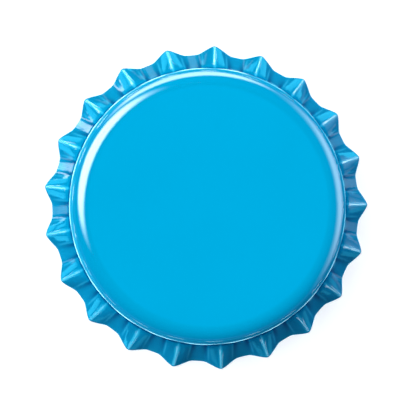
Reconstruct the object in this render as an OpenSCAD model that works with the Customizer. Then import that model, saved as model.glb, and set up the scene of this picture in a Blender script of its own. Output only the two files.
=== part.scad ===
// A pressed-steel crown cork for a 26 mm bottle mouth, with its moulded sealing liner.
// It stands on the rim of its skirt with the flat top up. The Z axis is the cap's own axis, and
// z = 0 is the plane of the rim. Millimetres throughout.

/* [Overall] */
// Outside diameter over the tips of the teeth
outside_d = 32.2; // [30:0.1:40]
// Overall height, from the rim to the flat top
height = 6; // [5:0.1:8]
// Inside diameter of the plain neck that grips the bottle
inside_d = 26.75; // [22:0.05:28]
// Thickness of the tinplate sheet
sheet = 0.235; // [0.18:0.005:0.3]
// Outside radius of the shoulder between the flat top and the neck
corner_r = 1.75; // [1:0.05:2]
// Height of the plain neck between the shoulder and the pleats
neck_h = 0.45; // [0.2:0.05:1]

/* [Pleated skirt] */
// Number of teeth
teeth = 21; // [15:1:27]
// How far the tips stand out past the edge of the valleys
tooth_depth = 0.86; // [0.5:0.02:1.2]
// How far the tips stand above the rim, as the sheet is drawn out there
tip_lift = 0.2; // [0:0.05:0.4]
// How round the crest of a tooth is, as a share of half its pitch
crest_share = 0.08; // [0.05:0.01:0.15]
// How far round the foot of a tooth reaches at the neck, as a share of half its pitch
foot_neck = 0.7; // [0.55:0.01:0.75]
// The same at the rim
foot_rim = 0.62; // [0.55:0.01:0.75]
// How softly the foot runs out into the valley, as a share of half the pitch
fillet_share = 0.1; // [0.05:0.01:0.2]
// How long the bend between the neck and a crest is, as a share of the pleats' height
crest_bend = 0.04; // [0.02:0.01:0.2]
// The same between the neck and a valley
valley_bend = 0.2; // [0.08:0.01:0.3]

/* [Knee in the sides of the teeth] */
// How far round the knee lies at the neck, as a share of half the pitch
knee_neck = 0.25; // [0.15:0.01:0.45]
// The same at the rim
knee_rim = 0.42; // [0.15:0.01:0.45]
// How far the knee bulges near the neck, as a share of the tooth
knee_rise = 0.3; // [0:0.02:0.4]
// How fast the bulge fades on its way to the rim
knee_fade = 1.3; // [1:0.1:3]
// How round the knee is, as a share of the tooth
knee_soft = 0.15; // [0.05:0.01:0.3]

/* [Liner] */
// Clearance between the liner's edge and the plain neck
liner_gap = 0.575; // [0.1:0.025:2]
// Thickness of the disc that lines the top
liner_disc = 0.25; // [0.2:0.05:0.5]
// Width of the thick band that seals on the glass
band_w = 3.1; // [2.2:0.1:4]
// Thickness of that band
band_h = 0.55; // [0.4:0.05:0.8]
// Radius of the two beads that stand on the band
bead_r = 0.42; // [0.2:0.02:0.5]

/* [Hidden] */
$fn = 168;

neck_r = inside_d / 2 + sheet;
shoulder_r = neck_r - corner_r;
shoulder_z = height - corner_r;
skirt_h = shoulder_z - neck_h;
tip_r = outside_d / 2;
valley_r = tip_r - tooth_depth;
top_inside = height - sheet;
liner_r = inside_d / 2 - liner_gap;
band_r = liner_r - band_w;

// The neck's band of sheet laps this far down into the sheet of the pleats, where it tapers to a
// share of its thickness. The top edge of the pleats is tucked in from both faces. So the two fuse
// without a step.
lap_h = 0.25;
lap_share = 0.3;
tuck = 0.04;
// Step for the slopes that give the sheet's normal
tiny = 0.001;

// Rows of points down the pleats, from 0 at the neck to 1 at the rim
ROWS = [0.03, 0.09, 0.18, 0.32, 0.5, 0.73, 1];
// Columns of points on one side of a tooth: 0 on its crest, 1 at the knee, 2 at the foot and 3 in
// the middle of the valley
SIDE_COLUMNS = [0.3, 0.8, 1.15, 1.6, 2, 2.35];
COLUMNS = concat(
    [for (k = [len(SIDE_COLUMNS) - 1:-1:0]) -SIDE_COLUMNS[k]], [0], SIDE_COLUMNS, [3]);

function unit(v) = v / norm(v);
function mix(a, b, t) = a + (b - a) * t;

// A line that leaves the neck without a kink and then flares straight, from 0 to 1
function flare(s, bend) = (sqrt(s * s + bend * bend) - bend) / (sqrt(1 + bend * bend) - bend);

// A ramp that is 0 on its left, straight on its right and rounded between
function ramp(t, soft) = (t + sqrt(t * t + soft * soft)) / 2;

// The lower of two lines, rounded where they cross
function lower(a, b, soft) = (a + b - sqrt(pow(a - b, 2) + soft * soft)) / 2;

// Where the knee and the foot lie at s down the skirt, as shares of half the pitch
function knee(s) = mix(knee_neck, knee_rim, s);
function foot(s) = mix(foot_neck, foot_rim, s);

// Where a column of points lies at s down the skirt, as a share of half the pitch
function side_column(c, s) =
    c < 1 ? c * knee(s) : c < 2 ? mix(knee(s), foot(s), c - 1) : mix(foot(s), 1, c - 2);
function column(c, s) = sign(c) * side_column(abs(c), s);

// A tooth's section, as a share of the tooth: 1 on the crest at u = 0, about 0 in the valleys at
// -1 and 1. Near the neck its sides bulge out at the knee and then fall steeply to the foot.
function ridge(u, s) =
    let (
        lean = sqrt(u * u + crest_share * crest_share) - crest_share,
        gable = ramp(foot(s) - lean, fillet_share) / ramp(foot(s), fillet_share),
        rise = lean / knee(s),
        fall = (foot(s) - abs(u)) / (foot(s) - knee(s)),
        bulge = ramp(lower(rise, fall, knee_soft), fillet_share / 2)
    )
    gable + knee_rise * bulge * pow(max(1 - s, 0), knee_fade);

// The cut edge is square to the sheet, so its outer corner stands this far above the rim's plane.
flare_at_rim =
    (flare(1, valley_bend) - flare(1 - tiny, valley_bend)) / tiny * (valley_r - neck_r) / skirt_h;
edge_rise = sheet * sin(atan(flare_at_rim));

// A point on the outer face of the pleats: u round the pitch, s down the skirt, turned to one tooth
function pleat(turn, u, s) =
    let (
        proud = ridge(u, s),
        valley = mix(neck_r, valley_r, flare(s, valley_bend)),
        crest = mix(neck_r, tip_r, flare(s, crest_bend)),
        r = mix(valley, crest, proud),
        a = turn + u * 180 / teeth
    )
    [r * cos(a), r * sin(a), mix(skirt_h, edge_rise + tip_lift * proud, s)];

// The outward normal of the sheet there
function pleat_normal(turn, u, s) =
    unit(cross(pleat(turn, u, s + tiny) - pleat(turn, u, s - tiny),
               pleat(turn, u + tiny, s) - pleat(turn, u - tiny, s)));

// A point at some depth in the sheet of the pleats, on one column
function in_sheet(turn, c, s, depth) =
    let (u = column(c, s))
    pleat(turn, u, s) - depth * pleat_normal(turn, u, s);

// A point at some depth in the sheet of the neck, above the pleats
function in_neck(turn, c, depth) =
    let (r = neck_r - depth, a = turn + column(c, 0) * 180 / teeth)
    [r * cos(a), r * sin(a), skirt_h + lap_h / 2];

// The half-section of the cap's solid form down to z = foot_z, set in from the outside
module form_section(inset, foot_z) {
    translate([0, foot_z]) square([shoulder_r, height - inset - foot_z]);
    translate([0, foot_z]) square([neck_r - inset, shoulder_z - foot_z]);
    intersection() {
        translate([shoulder_r, shoulder_z]) circle(corner_r - inset);
        translate([shoulder_r, shoulder_z]) square(corner_r);
    }
}

// The flat top, the shoulder and the plain neck, whose lower end is bevelled inside the pleats
module pressed_top() {
    lap_z = skirt_h - lap_h;
    lap_r = neck_r - sheet * lap_share;
    rotate_extrude()
        difference() {
            form_section(0, lap_z);
            form_section(sheet, lap_z - 1);
            polygon([
                [shoulder_r, lap_z - 1],
                [lap_r, lap_z - 1],
                [lap_r, lap_z],
                [neck_r - sheet, skirt_h],
                [shoulder_r, skirt_h]
            ]);
        }
}

// The pleats, as one band of sheet: down the outer face, round the cut edge and up the inner face.
// Both faces are split into triangles the same way on both sides of a crest, as mirror images.
module pleated_skirt() {
    across = teeth * len(COLUMNS);
    loops = concat(
        [for (s = ROWS) [s, 0]],
        [for (k = [len(ROWS) - 1:-1:0]) [ROWS[k], sheet]]);
    rings = concat(
        [[for (i = [0:teeth - 1], c = COLUMNS) in_neck(i * 360 / teeth, c, tuck)]],
        [for (loop = loops)
            [for (i = [0:teeth - 1], c = COLUMNS) in_sheet(i * 360 / teeth, c, loop[0], loop[1])]],
        [[for (i = [0:teeth - 1], c = COLUMNS) in_neck(i * 360 / teeth, c, sheet - tuck)]]);
    polyhedron(
        points = [for (ring = rings, p = ring) p],
        faces = [
            for (k = [0:len(rings) - 1], i = [0:across - 1])
                let (
                    a = k * across + i,
                    b = k * across + (i + 1) % across,
                    c = (k + 1) % len(rings) * across + (i + 1) % across,
                    d = (k + 1) % len(rings) * across + i,
                    outer_face = k < len(rings) / 2,
                    past_crest = i % len(COLUMNS) >= len(SIDE_COLUMNS)
                        && i % len(COLUMNS) < len(COLUMNS) - 1
                )
                each outer_face == past_crest ? [[a, b, d], [b, c, d]] : [[a, b, c], [a, c, d]]
        ],
        convexity = 8);
}

module crown_shell() {
    color("deepskyblue") {
        pressed_top();
        pleated_skirt();
    }
}

// The liner's half-section: a thin disc, a thicker band round it and two beads on the band. Its
// edge follows the inside of the shoulder, because the liner is moulded in place.
module liner_section() {
    intersection() {
        form_section(sheet, 0);
        union() {
            translate([0, top_inside - liner_disc]) square([liner_r, liner_disc]);
            translate([band_r, top_inside - band_h]) square([band_w, band_h]);
            for (r = [band_r + bead_r, liner_r - bead_r])
                translate([r, top_inside - band_h]) circle(bead_r);
        }
    }
}

module liner() {
    color("whitesmoke")
        rotate_extrude() liner_section();
}

crown_shell();
liner();
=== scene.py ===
"""A blue crown cork on a white table, seen from almost straight above.

The CAD frame gives the cap's size and place. Its two nodes are redrawn here with the same forms as
smooth meshes: the sheet, with its lacquered outside, bare cut edge and tinned inside, and the
liner. Lengths are in millimetres, and MM turns them into the metres that Blender takes. Azimuths
and elevations are in degrees. Azimuths run from +X towards +Y.
"""

import math

import bpy
import numpy as np
from mathutils import Matrix, Vector


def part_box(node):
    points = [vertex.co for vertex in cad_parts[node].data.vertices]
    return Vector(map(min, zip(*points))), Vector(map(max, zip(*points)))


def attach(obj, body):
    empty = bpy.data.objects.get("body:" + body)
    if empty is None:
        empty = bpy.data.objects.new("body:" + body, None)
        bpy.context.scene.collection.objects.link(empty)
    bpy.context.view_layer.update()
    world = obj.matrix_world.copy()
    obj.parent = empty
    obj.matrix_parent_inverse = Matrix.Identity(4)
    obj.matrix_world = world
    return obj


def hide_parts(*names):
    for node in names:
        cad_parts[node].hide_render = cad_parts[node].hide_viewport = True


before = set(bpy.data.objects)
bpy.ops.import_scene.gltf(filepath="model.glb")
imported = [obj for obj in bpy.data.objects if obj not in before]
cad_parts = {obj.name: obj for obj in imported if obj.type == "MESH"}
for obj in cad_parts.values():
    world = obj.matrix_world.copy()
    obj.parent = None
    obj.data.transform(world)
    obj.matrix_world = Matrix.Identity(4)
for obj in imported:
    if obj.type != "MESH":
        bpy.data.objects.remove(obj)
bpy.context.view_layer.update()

MM = 0.001

# ---------------------------------------------------------------- sizes, as in the CAD source

_, shell_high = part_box("crown_shell")
_, liner_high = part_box("liner")

HEIGHT = shell_high.z / MM
TIP_R = shell_high.x / MM  # a tooth points along +X
LINER_R = liner_high.x / MM
TOP_INSIDE = liner_high.z / MM
SHEET = HEIGHT - TOP_INSIDE

INSIDE_R = 13.375
NECK_R = INSIDE_R + SHEET
CORNER_R = 1.75
SHOULDER_R = NECK_R - CORNER_R
SHOULDER_Z = HEIGHT - CORNER_R

TEETH = 21
SKIRT_H = 3.8
TOOTH_DEPTH = 0.86
TIP_LIFT = 0.2
CREST_SHARE = 0.08
FOOT_NECK = 0.7
FOOT_RIM = 0.62
FILLET_SHARE = 0.1
CREST_BEND = 0.04
VALLEY_BEND = 0.2
KNEE_NECK = 0.25
KNEE_RIM = 0.42
KNEE_RISE = 0.3
KNEE_FADE = 1.3
KNEE_SOFT = 0.15
VALLEY_R = TIP_R - TOOTH_DEPTH

LINER_DISC = 0.25
BAND_R = 9.7
BAND_H = 0.55
BEAD_R = 0.42

# ---------------------------------------------------------------- fineness of the meshes

COLUMNS_PER_TOOTH = 44
# Rows down the pleats, closer together near the neck by this power
SKIRT_ROWS = 24
ROW_POWER = 1.3
# Radii of the rings on the flat top, steps round the shoulder, and how far above the pleats the
# rings on the neck lie
FLAT_RADII = (4, 8, 10.5)
SHOULDER_STEPS = 14
NECK_RISES = (0.3, 0.15, 0.06, 0.02)
# How round the corners of the cut edge are, and where on them the middle ring lies
EDGE_R = 0.03
EDGE_SHARE = 0.3

LINER_COLUMNS = 192
LINER_FLAT_RADII = (3, 6)
# The step from the disc to the band slopes over this width
BAND_SLOPE = 0.1
BEAD_STEPS = 12
LINER_EDGE_STEPS = 6
# The liner stays this far clear of the sheet
LINER_CLEAR = 0.01

# Step for the slopes that give the sheet's normal
TINY = 0.001

# ---------------------------------------------------------------- light and shade painted on the lacquer

# A painted highlight on the crests, from this far down the skirt. Widths are shares of half the
# pitch.
CREST_HIGHLIGHT_WIDTH = 0.06
CREST_HIGHLIGHT_START = 0.15
# Painted highlights on the bends too, which lie this far inside the feet and end this far down
BEND_HIGHLIGHT = 0.7
BEND_HIGHLIGHT_WIDTH = 0.045
BEND_HIGHLIGHT_INSET = 0.1
BEND_HIGHLIGHT_END = 0.95
# Painted shade in the folds, which lie this far outside the feet and fade by a power
FOLD_SHADE_WIDTH = 0.14
FOLD_SHADE_OUTSET = 0.02
FOLD_SHADE_FADE = 1.2
# A little painted shade on the sides of the teeth, and painted shade this far down under the neck
SIDE_SHADE = 0.17
UNDER_NECK_SHADE = 0.09
# A painted highlight on the neck, which comes in from this far inside the neck's radius over a
# short run
NECK_HIGHLIGHT = 0.7
NECK_HIGHLIGHT_INSET = 0.24
NECK_HIGHLIGHT_RUN = 0.08

# ---------------------------------------------------------------- the pleated sheet


def mix(start, end, share):
    """A number between two others."""
    return start + (end - start) * share


def ramp(t, soft):
    """0 on its left, straight on its right and rounded between."""
    return (t + np.sqrt(t * t + soft * soft)) / 2


def flare(s, bend):
    """A line that leaves the neck without a kink and then flares straight, from 0 to 1."""
    return (np.sqrt(s * s + bend * bend) - bend) / (math.sqrt(1 + bend * bend) - bend)


def round_tooth(angle):
    """Where an angle lies round its tooth: 0 on the crest, -1 and 1 in the valleys."""
    pitch = 2 * math.pi / TEETH
    return (np.mod(angle / pitch + 0.5, 1.0) - 0.5) * 2


def foot_at(s):
    """How far round the foot of a tooth lies, at s down the skirt."""
    return mix(FOOT_NECK, FOOT_RIM, s)


def ridge(u, s):
    """Section of a tooth: 1 on its crest at u = 0 and about 0 in the valleys at -1 and 1. Near the
    neck its sides bulge out at a knee, under which they fall steeply to the foot."""
    foot = foot_at(s)
    lean = np.sqrt(u * u + CREST_SHARE**2) - CREST_SHARE
    gable = ramp(foot - lean, FILLET_SHARE) / ramp(foot, FILLET_SHARE)
    knee = mix(KNEE_NECK, KNEE_RIM, s)
    rise = lean / knee
    fall = (foot - np.abs(u)) / (foot - knee)
    hump = (rise + fall - np.sqrt((rise - fall) ** 2 + KNEE_SOFT**2)) / 2
    fade = max(1 - s, 0) ** KNEE_FADE
    return gable + KNEE_RISE * ramp(hump, FILLET_SHARE / 2) * fade


# The cut edge is square to the sheet, so its outer corner stands this far above the rim's plane.
RIM_FLARE = (flare(1.0, VALLEY_BEND) - flare(1.0 - TINY, VALLEY_BEND)) / TINY
RIM_SLOPE = RIM_FLARE * (VALLEY_R - NECK_R) / SKIRT_H
EDGE_RISE = SHEET * math.sin(math.atan(RIM_SLOPE))


def pleat(angle, s):
    """Points on the outer face of the pleats, at an angle round the cap and s down the skirt."""
    proud = ridge(round_tooth(angle), s)
    valley = mix(NECK_R, VALLEY_R, flare(s, VALLEY_BEND))
    crest = mix(NECK_R, TIP_R, flare(s, CREST_BEND))
    r = mix(valley, crest, proud)
    z = mix(SKIRT_H, EDGE_RISE + TIP_LIFT * proud, s)
    return np.stack([r * np.cos(angle), r * np.sin(angle), z], axis=-1)


def pleat_in_sheet(angle, s, depth):
    """Points at some depth in the sheet of the pleats."""
    down = pleat(angle, s + TINY) - pleat(angle, s - TINY)
    across = pleat(angle + TINY, s) - pleat(angle - TINY, s)
    normal = np.cross(down, across)
    normal /= np.linalg.norm(normal, axis=-1, keepdims=True)
    return pleat(angle, s) - depth * normal


def peak(x, width):
    """1 at 0, and down to nothing over a few widths."""
    return np.exp(-((x / width) ** 2))


def painted_light_and_shade(angle, s):
    """Painted light and shade on the pleats: up to 1 for painted highlights on the crests and the
    bends, and down to -1 for painted shade in the folds, on the sides of the teeth and under the
    neck."""
    u = np.abs(round_tooth(angle))
    foot = foot_at(s)
    # Painted highlights: a line down each crest and one on the bend inside each foot
    crest = peak(u, CREST_HIGHLIGHT_WIDTH) * min(s / CREST_HIGHLIGHT_START, 1.0)
    bend_length = math.sin(math.pi * min(s / BEND_HIGHLIGHT_END, 1.0))
    bend = BEND_HIGHLIGHT * peak(u - foot + BEND_HIGHLIGHT_INSET, BEND_HIGHLIGHT_WIDTH) * bend_length
    # Painted shade: in the fold outside each foot, on the sides of the teeth and under the neck
    fold = peak(u - foot - FOLD_SHADE_OUTSET, FOLD_SHADE_WIDTH) * (1 - s) ** FOLD_SHADE_FADE
    side = SIDE_SHADE * np.sqrt(np.clip(1 - np.abs(u / foot - 0.5) * 2, 0, 1))
    under = peak(s, UNDER_NECK_SHADE) * (1 - crest)
    painted_shade = np.maximum(np.maximum(fold, side) * (1 - bend), under)
    return np.clip(crest + bend - painted_shade, -1, 1)


# ---------------------------------------------------------------- the two pieces

# Material slots of the cap
LACQUER, CUT_EDGE, TIN = 0, 1, 2


def ring(angle, r, z):
    """A round ring of points."""
    return np.stack([r * np.cos(angle), r * np.sin(angle), np.full_like(angle, z)], axis=-1)


def shoulder_point(lean, inset):
    """Radius and height of a point on the shoulder's arc, set in from the outside. The arc starts
    at the edge of the flat top, where lean is 0."""
    arc = CORNER_R - inset
    return SHOULDER_R + arc * math.sin(lean), SHOULDER_Z + arc * math.cos(lean)


def mesh_of_rings(name, rings, band_slots, high_pole, low_pole):
    """One closed skin from the high pole through rings of points to the low pole. band_slots gives
    the material slot of each band between two rings."""
    across = len(rings[0])
    points = [p for r in rings for p in r]
    faces, slots = [], []
    for k, slot in enumerate(band_slots):
        upper, lower = k * across, (k + 1) * across
        for i in range(across):
            j = (i + 1) % across
            faces.append((upper + i, lower + i, lower + j, upper + j))
            slots.append(slot)
    last = (len(rings) - 1) * across
    for pole, first, turn, slot in (
        (high_pole, 0, 1, band_slots[0]),
        (low_pole, last, -1, band_slots[-1]),
    ):
        points.append(pole)
        for i in range(across):
            edge = (first + i, first + (i + 1) % across)[::turn]
            faces.append((len(points) - 1, *edge))
            slots.append(slot)
    mesh = bpy.data.meshes.new(name)
    mesh.from_pydata([tuple(float(c) * MM for c in p) for p in points], [], faces)
    mesh.polygons.foreach_set("material_index", slots)
    mesh.polygons.foreach_set("use_smooth", [True] * len(faces))
    mesh.update()
    piece = bpy.data.objects.new(name, mesh)
    bpy.context.scene.collection.objects.link(piece)
    return piece


def sheet_rings(angle, depth, rows):
    """Rings from the middle of the flat top down the pleats, at some depth in the sheet."""
    rings = [ring(angle, r, HEIGHT - depth) for r in FLAT_RADII]
    for step in range(SHOULDER_STEPS + 1):
        lean = math.pi / 2 * step / SHOULDER_STEPS
        rings.append(ring(angle, *shoulder_point(lean, depth)))
    rings += [ring(angle, NECK_R - depth, SKIRT_H + rise) for rise in NECK_RISES]
    rings += [pleat_in_sheet(angle, s, depth) for s in rows]
    return rings


def store_painted_tone(piece, angle, rows, first):
    """Keeps the painted light and shade with the rings of the outer face: a painted highlight on
    the neck in the first ones, above the pleats, and then painted highlights and shade in one to
    each row."""
    across = len(angle)
    values = np.zeros(len(piece.data.vertices))
    # A painted highlight on the neck, above the pleats
    for k in range(first):
        p = piece.data.vertices[k * across].co
        inset = NECK_R - math.hypot(p.x, p.y) / MM
        share = min(max((NECK_HIGHLIGHT_INSET - inset) / NECK_HIGHLIGHT_RUN, 0.0), 1.0)
        values[k * across : (k + 1) * across] = NECK_HIGHLIGHT * share
    for k, s in enumerate(rows, first):
        values[k * across : (k + 1) * across] = painted_light_and_shade(angle, s)
    # The lacquer attribute holds painted highlights and painted shade
    attribute = piece.data.attributes.new("lacquer", "FLOAT", "POINT")
    attribute.data.foreach_set("value", values)


def make_shell():
    """The pressed cap: the outer face, the cut edge with rounded corners and the inner face."""
    angle = np.linspace(0, 2 * math.pi, TEETH * COLUMNS_PER_TOOTH, endpoint=False)
    rows = np.linspace(0, 1, SKIRT_ROWS + 1)[:-1] ** ROW_POWER
    outside = sheet_rings(angle, 0, rows)
    inside = sheet_rings(angle, SHEET, rows[::2])
    # Rings of a corner of the cut edge: how far above the edge and how deep in the sheet
    corner = ((EDGE_R, 0), (EDGE_R * EDGE_SHARE, EDGE_R * EDGE_SHARE), (0, EDGE_R))
    rim = [pleat_in_sheet(angle, 1 - up / SKIRT_H, depth) for up, depth in corner]
    rim += [pleat_in_sheet(angle, 1 - up / SKIRT_H, SHEET - depth) for up, depth in corner[::-1]]
    rings = outside + rim + inside[::-1]
    slots = [LACQUER] * (len(outside) + 1) + [CUT_EDGE] * 3 + [TIN] * (len(inside) + 1)
    cap = mesh_of_rings("pressed_cap", rings, slots, (0, 0, HEIGHT), (0, 0, TOP_INSIDE))
    store_painted_tone(cap, angle, rows, len(outside) - len(rows))
    return cap


def make_liner():
    """The moulded liner, from its edge in the shoulder over the two beads to the disc's middle."""
    disc_z = TOP_INSIDE - LINER_DISC
    band_z = TOP_INSIDE - BAND_H
    profile = [(r, disc_z) for r in (*LINER_FLAT_RADII, BAND_R - BAND_SLOPE)]
    for middle in (BAND_R + BEAD_R, LINER_R - BEAD_R):
        for step in range(1, BEAD_STEPS):
            turn = math.pi * step / BEAD_STEPS
            profile.append((middle - BEAD_R * math.cos(turn), band_z - BEAD_R * math.sin(turn)))
    inset = SHEET + LINER_CLEAR
    start = math.asin((LINER_R - LINER_CLEAR - SHOULDER_R) / (CORNER_R - inset))
    for step in range(LINER_EDGE_STEPS + 1):
        profile.append(shoulder_point(start * (1 - step / LINER_EDGE_STEPS), inset))
    angle = np.linspace(0, 2 * math.pi, LINER_COLUMNS, endpoint=False)
    rings = [ring(angle, r, z) for r, z in profile[::-1]]
    slots = [0] * (len(rings) - 1)
    poles = ((0, 0, TOP_INSIDE - LINER_CLEAR), (0, 0, disc_z))
    return mesh_of_rings("sealing_liner", rings, slots, *poles)


# ---------------------------------------------------------------- node graphs


class Graph:
    """The nodes of a material or of the world. Apart from add, which gives back a node, its methods
    give back the socket with their result."""

    def __init__(self, tree):
        self.nodes = tree.nodes
        self.links = tree.links

    def add(self, kind, **settings):
        """A new node with some settings."""
        node = self.nodes.new("ShaderNode" + kind)
        for name, value in settings.items():
            setattr(node, name, value)
        return node

    def feed(self, socket, value):
        """Sets an input to a plain value, or links it to an output."""
        if isinstance(value, bpy.types.NodeSocket):
            self.links.new(value, socket)
        else:
            socket.default_value = value

    def number(self, operation, first, second):
        """The result of an operation on two numbers."""
        node = self.add("Math", operation=operation)
        self.feed(node.inputs[0], first)
        self.feed(node.inputs[1], second)
        return node.outputs[0]

    def product(self, first, second):
        """One number times another."""
        return self.number("MULTIPLY", first, second)

    def total(self, first, *others):
        """The sum of some numbers."""
        for other in others:
            first = self.number("ADD", first, other)
        return first

    def highest(self, first, *others):
        """The highest of some numbers."""
        for other in others:
            first = self.number("MAXIMUM", first, other)
        return first

    def vector(self, operation, first, second=None):
        """The result of an operation on vectors or colours. A scale's second value is a number."""
        node = self.add("VectorMath", operation=operation)
        self.feed(node.inputs[0], first)
        if second is not None:
            self.feed(node.inputs["Scale" if operation == "SCALE" else 1], second)
        return node.outputs["Value" if operation in ("LENGTH", "DOT_PRODUCT") else "Vector"]

    def between(self, value, low, high, at_low, at_high, way="SMOOTHSTEP"):
        """A number that goes from at_low to at_high as a value goes from low to high."""
        node = self.add("MapRange", interpolation_type=way)
        limits = {"From Min": low, "From Max": high, "To Min": at_low, "To Max": at_high}
        for name, limit in limits.items():
            node.inputs[name].default_value = limit
        self.links.new(value, node.inputs["Value"])
        return node.outputs["Result"]

    def window(self, value, low, high, soft):
        """1 where a value lies between low and high, 0 outside, with soft ends."""
        rising = self.between(value, low - soft, low + soft, 0.0, 1.0)
        falling = self.between(value, high - soft, high + soft, 1.0, 0.0)
        return self.product(rising, falling)

    def colours(self, value, stops):
        """A colour read off between stops, which lie from 0 to 1."""
        node = self.add("ValToRGB")
        elements = node.color_ramp.elements
        while len(elements) < len(stops):
            elements.new(0.5)
        for element, (place, colour) in zip(elements, stops):
            element.position = place
            element.color = (*colour, 1)
        self.links.new(value, node.inputs["Fac"])
        return node.outputs["Color"]

    def levels(self, value, stops):
        """A number read off between stops, which lie from 0 to 1."""
        return self.colours(value, [(place, (level,) * 3) for place, level in stops])

    def place(self):
        """The point on the object, in metres."""
        return self.add("TexCoord").outputs["Object"]

    def height(self, vector):
        """The Z of a vector."""
        split = self.add("SeparateXYZ")
        self.links.new(vector, split.inputs[0])
        return split.outputs["Z"]

    def flat(self, vector):
        """A vector without its height."""
        return self.vector("MULTIPLY", vector, (1, 1, 0))

    def noise(self, where, scale, detail):
        """Noise with so many waves to a unit of where, which is a metre on the object."""
        node = self.add("TexNoise")
        node.inputs["Scale"].default_value = scale
        node.inputs["Detail"].default_value = detail
        self.links.new(where, node.inputs["Vector"])
        return node.outputs["Fac"]

    def bump(self, height, depth, under=None):
        """The normal over a bump some millimetres deep, on top of another bump if there is one."""
        node = self.add("Bump")
        node.inputs["Distance"].default_value = depth * MM
        self.links.new(height, node.inputs["Height"])
        if under is not None:
            self.links.new(under, node.inputs["Normal"])
        return node.outputs["Normal"]


def new_material(name):
    """A material, its graph and its shader."""
    material = bpy.data.materials.new(name)
    material.use_nodes = True
    return material, Graph(material.node_tree), material.node_tree.nodes["Principled BSDF"]


# ---------------------------------------------------------------- materials

# The lacquer's colour, from painted shade in a fold through its own blue to a painted highlight
# over a bend
LACQUER_BLUES_SHADE_TO_HIGHLIGHT = ((0.0, (0.0, 0.09, 0.30)), (0.5, (0.0, 0.426, 0.70)), (1.0, (0.05, 0.72, 1.0)))
LACQUER_ROUGHNESS = 0.05
LACQUER_IOR = 1.5
LACQUER_TINT = (0.8, 0.95, 1.0, 1)
# Faint clouds in it: waves to a metre, detail, darkest and palest
CLOUD_NOISE = (90.0, 3.0)
CLOUD_LEVELS = (0.96, 1.04)
# Its orange peel: waves to a metre, detail, depth
PEEL_NOISE = (1400.0, 2.0)
PEEL_DEPTH = 0.0004
# Lines that the press drew down the skirt: waves and detail in a circle round the cap, how much
# a metre of height counts for, depth, and the heights over which they fade out
DRAW_NOISE = (40.0, 2.0)
DRAW_STRETCH = 8.0
DRAW_DEPTH = 0.014
DRAW_FADE = (3.2, 3.7)

# Specular level of the lacquer at heights above the rim. It is full on the shoulder, and the neck
# and the top of the pleats have none.
GLOSS_BY_HEIGHT = (
    (0.0, 0.22),
    (2.7, 0.22),
    (3.15, 0.0),
    (4.25, 0.0),
    (4.3, 0.8),
    (4.66, 0.8),
    (4.8, 1.0),
)
# The flat top's share of it, and the radii between which the share rises to full
FLAT_GLOSS = 0.03
FLAT_EDGE = (11.6, 12.0)
# The shoulder's share of it, from square on to edge on, and the heights over which that comes in
GLOSS_BY_FACING = ((0.0, 1.0), (0.3, 1.0), (0.5, 0.0), (1.0, 0.0))
FACING_RISE = (4.66, 4.8)

# The bare metals, with the waves to a metre, detail and tones of their grain
CUT_STEEL = {
    "scale": 3000.0,
    "detail": 2.0,
    "tones": ((0.0, (0.36, 0.35, 0.33)), (1.0, (0.62, 0.61, 0.59))),
    "roughness": 0.35,
}
CLEAR_TIN = {
    "scale": 900.0,
    "detail": 4.0,
    "tones": ((0.3, (0.62, 0.60, 0.54)), (0.7, (0.74, 0.72, 0.66))),
    "roughness": 0.24,
}

# The liner's clouds and their tones, its surface grain with its depth, the share of light that goes
# into it and how far its red, green and blue go
LINER_NOISE = (260.0, 3.0)
LINER_TONES = ((0.3, (0.76, 0.75, 0.70)), (0.7, (0.86, 0.85, 0.81)))
LINER_ROUGHNESS = 0.42
LINER_GRAIN = (2500.0, 2.0)
LINER_GRAIN_DEPTH = 0.01
LINER_SUBSURFACE = 0.25
LINER_SUBSURFACE_DEPTH = (1.0 * MM, 0.9 * MM, 0.8 * MM)


def lacquer_gloss(graph):
    """Specular level of the lacquer, by place on the cap and on the shoulder by facing too."""
    where = graph.place()
    share = graph.product(graph.height(where), 1 / (HEIGHT * MM))
    by_height = graph.levels(share, [(z / HEIGHT, level) for z, level in GLOSS_BY_HEIGHT])
    radius = graph.vector("LENGTH", graph.flat(where))
    by_radius = graph.between(radius, *(r * MM for r in FLAT_EDGE), FLAT_GLOSS, 1.0)
    facing = graph.add("LayerWeight").outputs["Facing"]
    mixed = graph.add("Mix", data_type="FLOAT")
    on_shoulder = graph.between(share, *(z / HEIGHT for z in FACING_RISE), 0.0, 1.0)
    graph.feed(mixed.inputs["Factor"], on_shoulder)
    graph.feed(mixed.inputs["A"], 1.0)
    graph.feed(mixed.inputs["B"], graph.levels(facing, GLOSS_BY_FACING))
    return graph.product(graph.product(by_height, by_radius), mixed.outputs["Result"])


def draw_lines(graph):
    """Fine lines down the pleats: noise that changes round the cap and hardly with the height."""
    where = graph.place()
    height = graph.height(where)
    rise = graph.add("CombineXYZ")
    graph.feed(rise.inputs["Z"], graph.product(height, DRAW_STRETCH))
    heading = graph.vector("NORMALIZE", graph.flat(where))
    lines = graph.noise(graph.vector("ADD", heading, rise.outputs[0]), *DRAW_NOISE)
    on_skirt = graph.between(height, *(z * MM for z in DRAW_FADE), 1.0, 0.0)
    return graph.product(lines, on_skirt)


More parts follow.
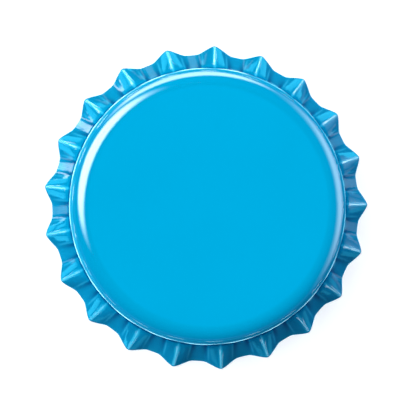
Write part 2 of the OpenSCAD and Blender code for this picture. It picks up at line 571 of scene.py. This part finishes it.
def lacquer_material():
    """Blue lacquer with painted highlights and painted shade, faint clouds, draw lines and orange
    peel.
    """
    material, graph, shader = new_material("blue_lacquer")
    # Painted highlights and painted shade, read from the lacquer attribute
    painted_tone = graph.add("Attribute", attribute_name="lacquer").outputs["Fac"]
    blue = graph.colours(graph.between(painted_tone, -1.0, 1.0, 0.0, 1.0, "LINEAR"), LACQUER_BLUES_SHADE_TO_HIGHLIGHT)
    cloud = graph.noise(graph.place(), *CLOUD_NOISE)
    level = graph.between(cloud, 0.0, 1.0, *CLOUD_LEVELS, "LINEAR")
    graph.feed(shader.inputs["Base Color"], graph.vector("SCALE", blue, level))
    shader.inputs["Roughness"].default_value = LACQUER_ROUGHNESS
    shader.inputs["IOR"].default_value = LACQUER_IOR
    shader.inputs["Specular Tint"].default_value = LACQUER_TINT
    graph.feed(shader.inputs["Specular IOR Level"], lacquer_gloss(graph))
    drawn = graph.bump(draw_lines(graph), DRAW_DEPTH)
    peel = graph.noise(graph.place(), *PEEL_NOISE)
    graph.feed(shader.inputs["Normal"], graph.bump(peel, PEEL_DEPTH, drawn))
    return material


def metal_material(name, scale, detail, tones, roughness):
    """A bare metal with a fine grain."""
    material, graph, shader = new_material(name)
    grain = graph.noise(graph.place(), scale, detail)
    graph.feed(shader.inputs["Base Color"], graph.colours(grain, tones))
    shader.inputs["Metallic"].default_value = 1.0
    shader.inputs["Roughness"].default_value = roughness
    return material


def liner_material():
    """A soft white sealing compound."""
    material, graph, shader = new_material("liner_compound")
    cloud = graph.noise(graph.place(), *LINER_NOISE)
    graph.feed(shader.inputs["Base Color"], graph.colours(cloud, LINER_TONES))
    shader.inputs["Roughness"].default_value = LINER_ROUGHNESS
    shader.inputs["Subsurface Weight"].default_value = LINER_SUBSURFACE
    shader.inputs["Subsurface Radius"].default_value = LINER_SUBSURFACE_DEPTH
    grain = graph.noise(graph.place(), *LINER_GRAIN)
    graph.feed(shader.inputs["Normal"], graph.bump(grain, LINER_GRAIN_DEPTH))
    return material


# ---------------------------------------------------------------- the table

TABLE_R = 4000
TABLE_SIDES = 96
# It lies this far under the rim
TABLE_DROP = 0.01
TABLE_TONE = (0.38, 0.39, 0.42, 1)
TABLE_ROUGHNESS = 0.9
# What it adds to its colour where it is looked at, near the cap and far away, to be white at both
GLOW_DISTANCES = (100, 600)
GLOW_LEVELS = (0.72, 1.0)
# What it adds for the light inside the cap, and the radii over which that ends
INSIDE_GLOW = 0.75
INSIDE_EDGE = (13.0, 13.3)
# Share of the gloss rays that it lets through, so that the skirt mirrors the strips under the
# horizon
PASS_THROUGH = 0.97


def make_floor():
    """A large white table, which can be seen through from below."""
    bpy.ops.mesh.primitive_circle_add(
        vertices=TABLE_SIDES,
        radius=TABLE_R * MM,
        fill_type="NGON",
        location=(0, 0, -TABLE_DROP * MM),
    )
    floor = bpy.context.object
    floor.name = "table"
    material, graph, shader = new_material("white_table")
    shader.inputs["Base Color"].default_value = TABLE_TONE
    shader.inputs["Roughness"].default_value = TABLE_ROUGHNESS
    shader.inputs["Specular IOR Level"].default_value = 0.0
    shader.inputs["Emission Color"].default_value = (1, 1, 1, 1)

    ray = graph.add("LightPath").outputs
    away = graph.vector("LENGTH", graph.place())
    looked_at = graph.highest(
        ray["Is Camera Ray"], ray["Is Glossy Ray"], ray["Is Transmission Ray"]
    )
    near, far = (distance * MM for distance in GLOW_DISTANCES)
    glow = graph.product(looked_at, graph.between(away, near, far, *GLOW_LEVELS))
    full, gone = (r * MM for r in INSIDE_EDGE)
    under_cap = graph.between(away, full, gone, INSIDE_GLOW, 0.0)
    inside = graph.product(ray["Is Diffuse Ray"], under_cap)
    graph.feed(shader.inputs["Emission Strength"], graph.total(glow, inside))

    passing = graph.product(ray["Is Glossy Ray"], PASS_THROUGH)
    from_below = graph.add("NewGeometry").outputs["Backfacing"]
    clear = graph.highest(passing, from_below)
    mixer = graph.add("MixShader")
    graph.feed(mixer.inputs[0], clear)
    graph.feed(mixer.inputs[1], shader.outputs[0])
    graph.feed(mixer.inputs[2], graph.add("BsdfTransparent").outputs[0])
    graph.feed(graph.nodes["Material Output"].inputs["Surface"], mixer.outputs[0])
    floor.data.materials.append(material)


# ---------------------------------------------------------------- the room

ROOM_TONE = (0.08, 0.22, 0.75)
# The walls are brightest at the horizon, half as bright this far above and below it, as the sine of
# the elevation, and gone at twice that
WALL_HEIGHT = 0.1
WHITE = (1.0, 1.0, 1.0)
SKY = (0.06, 0.76, 1.0)

# White soft ovals for the shoulder: azimuth, elevation, half width, half height, softness, level
PANELS = (
    (150, 46, 23, 25, 0.33, 13.5),
    (96, 5, 33, 18, 0.3, 7.5),
    (12, 4, 32, 27, 0.5, 3.8),
)
# One straight below for the lower edge of the shoulder, with its own levels of white and sky blue
FLOOR_PANEL = (0, -89.9, 38, 38, 0.1, 1.0)
FLOOR_WHITE = 0.75
FLOOR_BLUE = 2.3
# A panel shows only on its own side of the room. Its edge there is this soft.
PANEL_SIDE = 0.1

# Strips under the horizon: azimuth, elevation, half width, half height, level. Their edges are
# soft by this angle to both sides.
STRIP_SOFT = 0.8
WHITE_STRIPS = (
    # one to each valley that shines
    (355, -43, 3.6, 7, 0.4),
    (11, -43, 3.6, 7, 0.6),
    (27, -43, 3.6, 7, 0.3),
    (91, -43, 3.0, 7.5, 0.6),
    (108, -43, 3.0, 8, 0.7),
    (143, -43, 2.8, 8.5, 5.0),
    (160, -43, 2.8, 8.5, 3.8),
    (178, -43, 3.0, 9, 1.1),
    # for the lower edge of the shoulder
    (112, -62, 48, 10, 2.6),
    (205, -62, 45, 10, 1.6),
    (300, -62, 48, 10, 0.6),
)
BLUE_STRIPS = (
    # round the crests
    (95, -21, 40, 2.0, 7.0),
    (160, -18.5, 25, 2.0, 5.0),
    (8, -22, 20, 2.0, 1.5),
    (250, -18, 60, 2.0, 4.0),
    # wide and weak, for the sides of the teeth
    (60, -32, 28, 6, 4.5),
    (138, -30, 24, 5.5, 5.5),
    (190, -28, 24, 5, 6.5),
    (262, -30, 14, 4, 1.5),
    (330, -31, 22, 4, 1.5),
    # for the lower edge of the shoulder
    (118, -62, 26, 9, 2.4),
    (70, -62, 22, 9, 1.2),
    (190, -62, 45, 9, 2.2),
    (270, -62, 35, 9, 0.7),
)
# A narrow white strip to each crest: its levels at azimuths round the cap, half width, half
# height, and its elevation, which is highest on the side to which the camera leans
CREST_LEVELS = (
    (0, 9),
    (40, 9),
    (70, 14),
    (150, 14),
    (190, 8),
    (215, 3),
    (280, 3),
    (320, 6),
    (360, 9),
)
CREST_HALF_WIDE = 3.5
CREST_HALF_HIGH = 2.4
CREST_ELEVATION = -19.9
CREST_SWING = 2.8
CREST_SWING_AZIMUTH = 213


def axes(azimuth, elevation):
    """The direction to a place on the sky, and the directions sideways and upward there."""
    a, e = math.radians(azimuth), math.radians(elevation)
    toward = Vector((math.cos(e) * math.cos(a), math.cos(e) * math.sin(a), math.sin(e)))
    sideways = Vector((-math.sin(a), math.cos(a), 0))
    return toward, sideways, toward.cross(sideways)


def panel(graph, direction, azimuth, elevation, half_wide, half_high, soft, level):
    """A soft oval of light in the room."""
    toward, sideways, upward = axes(azimuth, elevation)
    place = graph.add("CombineXYZ")
    for socket, axis, half in zip(place.inputs, (sideways, upward), (half_wide, half_high)):
        reach = math.sin(math.radians(half))
        graph.feed(socket, graph.vector("DOT_PRODUCT", direction, axis / reach))
    out = graph.vector("LENGTH", place.outputs[0])
    inside = graph.between(out, 1 - soft, 1 + soft, 1.0, 0.0)
    facing = graph.vector("DOT_PRODUCT", direction, toward)
    front = graph.between(facing, 0.0, PANEL_SIDE, 0.0, 1.0)
    return graph.product(graph.product(inside, front), level)


def strip(graph, heading, height, azimuth, elevation, half_wide, half_high, level):
    """A soft upright rectangle of light in the room."""
    turn = math.radians(azimuth)
    toward = graph.vector("DOT_PRODUCT", heading, (math.cos(turn), math.sin(turn), 0))
    full, out = (math.cos(math.radians(half_wide + d)) for d in (-STRIP_SOFT, STRIP_SOFT))
    across = graph.between(toward, out, full, 0.0, 1.0)
    low, high = (math.sin(math.radians(elevation + d)) for d in (-half_high, half_high))
    up = graph.window(height, low, high, math.sin(math.radians(STRIP_SOFT)))
    return graph.product(graph.product(across, up), level)


def crest_strips():
    """The rows of the crests' strips."""
    rows = []
    for k in range(TEETH):
        azimuth = 360 * k / TEETH
        swing = math.cos(math.radians(azimuth - CREST_SWING_AZIMUTH))
        elevation = CREST_ELEVATION + CREST_SWING * swing
        level = float(np.interp(azimuth, *zip(*CREST_LEVELS)))
        rows.append((azimuth, elevation, CREST_HALF_WIDE, CREST_HALF_HIGH, level))
    return rows


def make_world():
    """A plain room with blue walls, which is white to the camera. Only the gloss sees its panels
    and the strips under the horizon, where the skirt looks."""
    world = bpy.data.worlds.new("room")
    bpy.context.scene.world = world
    world.use_nodes = True
    # Its walls are even, so no rays are aimed at it.
    world.cycles.sampling_method = "NONE"
    graph = Graph(world.node_tree)
    direction = graph.add("TexCoord").outputs["Generated"]
    height = graph.height(direction)
    heading = graph.vector("NORMALIZE", graph.flat(direction))

    white = [panel(graph, direction, *row) for row in PANELS]
    white += [strip(graph, heading, height, *row) for row in WHITE_STRIPS]
    white += [strip(graph, heading, height, *row) for row in crest_strips()]
    blue = [strip(graph, heading, height, *row) for row in BLUE_STRIPS]
    below = panel(graph, direction, *FLOOR_PANEL)
    white.append(graph.product(below, FLOOR_WHITE))
    blue.append(graph.product(below, FLOOR_BLUE))

    ray = graph.add("LightPath").outputs
    glossy = ray["Is Glossy Ray"]
    walls = graph.window(height, -WALL_HEIGHT, WALL_HEIGHT, WALL_HEIGHT)
    colour = graph.vector("SCALE", ROOM_TONE, walls)
    for level, tone in (
        (graph.product(graph.total(*white), glossy), WHITE),
        (graph.product(graph.total(*blue), glossy), SKY),
        (graph.total(ray["Is Camera Ray"], ray["Is Transmission Ray"]), WHITE),
    ):
        colour = graph.vector("ADD", colour, graph.vector("SCALE", tone, level))
    graph.feed(graph.nodes["Background"].inputs["Color"], colour)


# ---------------------------------------------------------------- lamps and camera

# Azimuth, elevation, distance, width, height, level and tone of each lamp
LAMPS = {
    "key": (143, 63, 900, 700, 500, 0.965, (1.0, 1.0, 1.027)),
    "fill": (30, 25, 900, 700, 400, 0.17, (0.4, 0.74, 1.05)),
    "fill_left": (205, 25, 900, 700, 400, 0.08, (0.1, 0.7, 1.2)),
}

# How far the camera leans from straight above, to which side, and how far it is rolled
CAMERA_LEAN = 3.14
CAMERA_AZIMUTH = 212.9
CAMERA_ROLL = -1.17
CAMERA_DISTANCE = 354.0
SENSOR_WIDTH = 36.0
# Width of the picture in the rim's plane, and how far to the right of the axis and above it the
# camera looks there
FRAME_WIDTH = 41.352
AIM_RIGHT = 0.2289
AIM_UP = -0.0299


def lamp(name, azimuth, elevation, distance, width, height, level, tone):
    """A soft lamp that looks at the cap and doesn't show in its gloss. The level is what it adds
    to a level white sheet."""
    data = bpy.data.lights.new(name, "AREA")
    data.shape = "RECTANGLE"
    data.size = width * MM
    data.size_y = height * MM
    data.color = tone
    area = data.size * data.size_y
    seen_share = area / (distance * MM) ** 2 * math.sin(math.radians(elevation))
    radiance = level * math.pi / seen_share
    data.energy = radiance * math.pi * area
    light = bpy.data.objects.new(name, data)
    bpy.context.scene.collection.objects.link(light)
    toward, sideways, upward = axes(azimuth, elevation)
    position = toward * distance * MM + Vector((0, 0, HEIGHT * MM))
    turn = Matrix((sideways, upward, toward)).transposed().to_4x4()
    light.matrix_world = Matrix.Translation(position) @ turn
    light.visible_camera = False
    light.visible_glossy = False


def make_camera():
    """Almost straight above, leaning a little to the front left, with a long lens."""
    data = bpy.data.cameras.new("camera")
    data.sensor_width = SENSOR_WIDTH
    data.lens = SENSOR_WIDTH * CAMERA_DISTANCE / FRAME_WIDTH
    data.clip_start = 10 * MM
    data.clip_end = 20000 * MM
    camera = bpy.data.objects.new("camera", data)
    bpy.context.scene.collection.objects.link(camera)
    back = axes(CAMERA_AZIMUTH, 90 - CAMERA_LEAN)[0]
    roll = math.radians(CAMERA_ROLL)
    right = Vector((-math.sin(roll), math.cos(roll), 0)).cross(back).normalized()
    up = back.cross(right).normalized()
    position = right * AIM_RIGHT + up * AIM_UP + back * CAMERA_DISTANCE
    turn = Matrix((right, up, back)).transposed().to_4x4()
    camera.matrix_world = Matrix.Translation(position * MM) @ turn
    bpy.context.scene.camera = camera


# ---------------------------------------------------------------- the scene

bpy.context.scene.view_settings.view_transform = "Standard"

shell = make_shell()
shell.data.materials.append(lacquer_material())
shell.data.materials.append(metal_material("cut_steel", **CUT_STEEL))
shell.data.materials.append(metal_material("clear_lacquered_tin", **CLEAR_TIN))
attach(shell, "root")
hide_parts("crown_shell")

liner = make_liner()
liner.data.materials.append(liner_material())
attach(liner, "root")
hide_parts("liner")

make_floor()
make_world()
for name, settings in LAMPS.items():
    lamp(name, *settings)
make_camera()
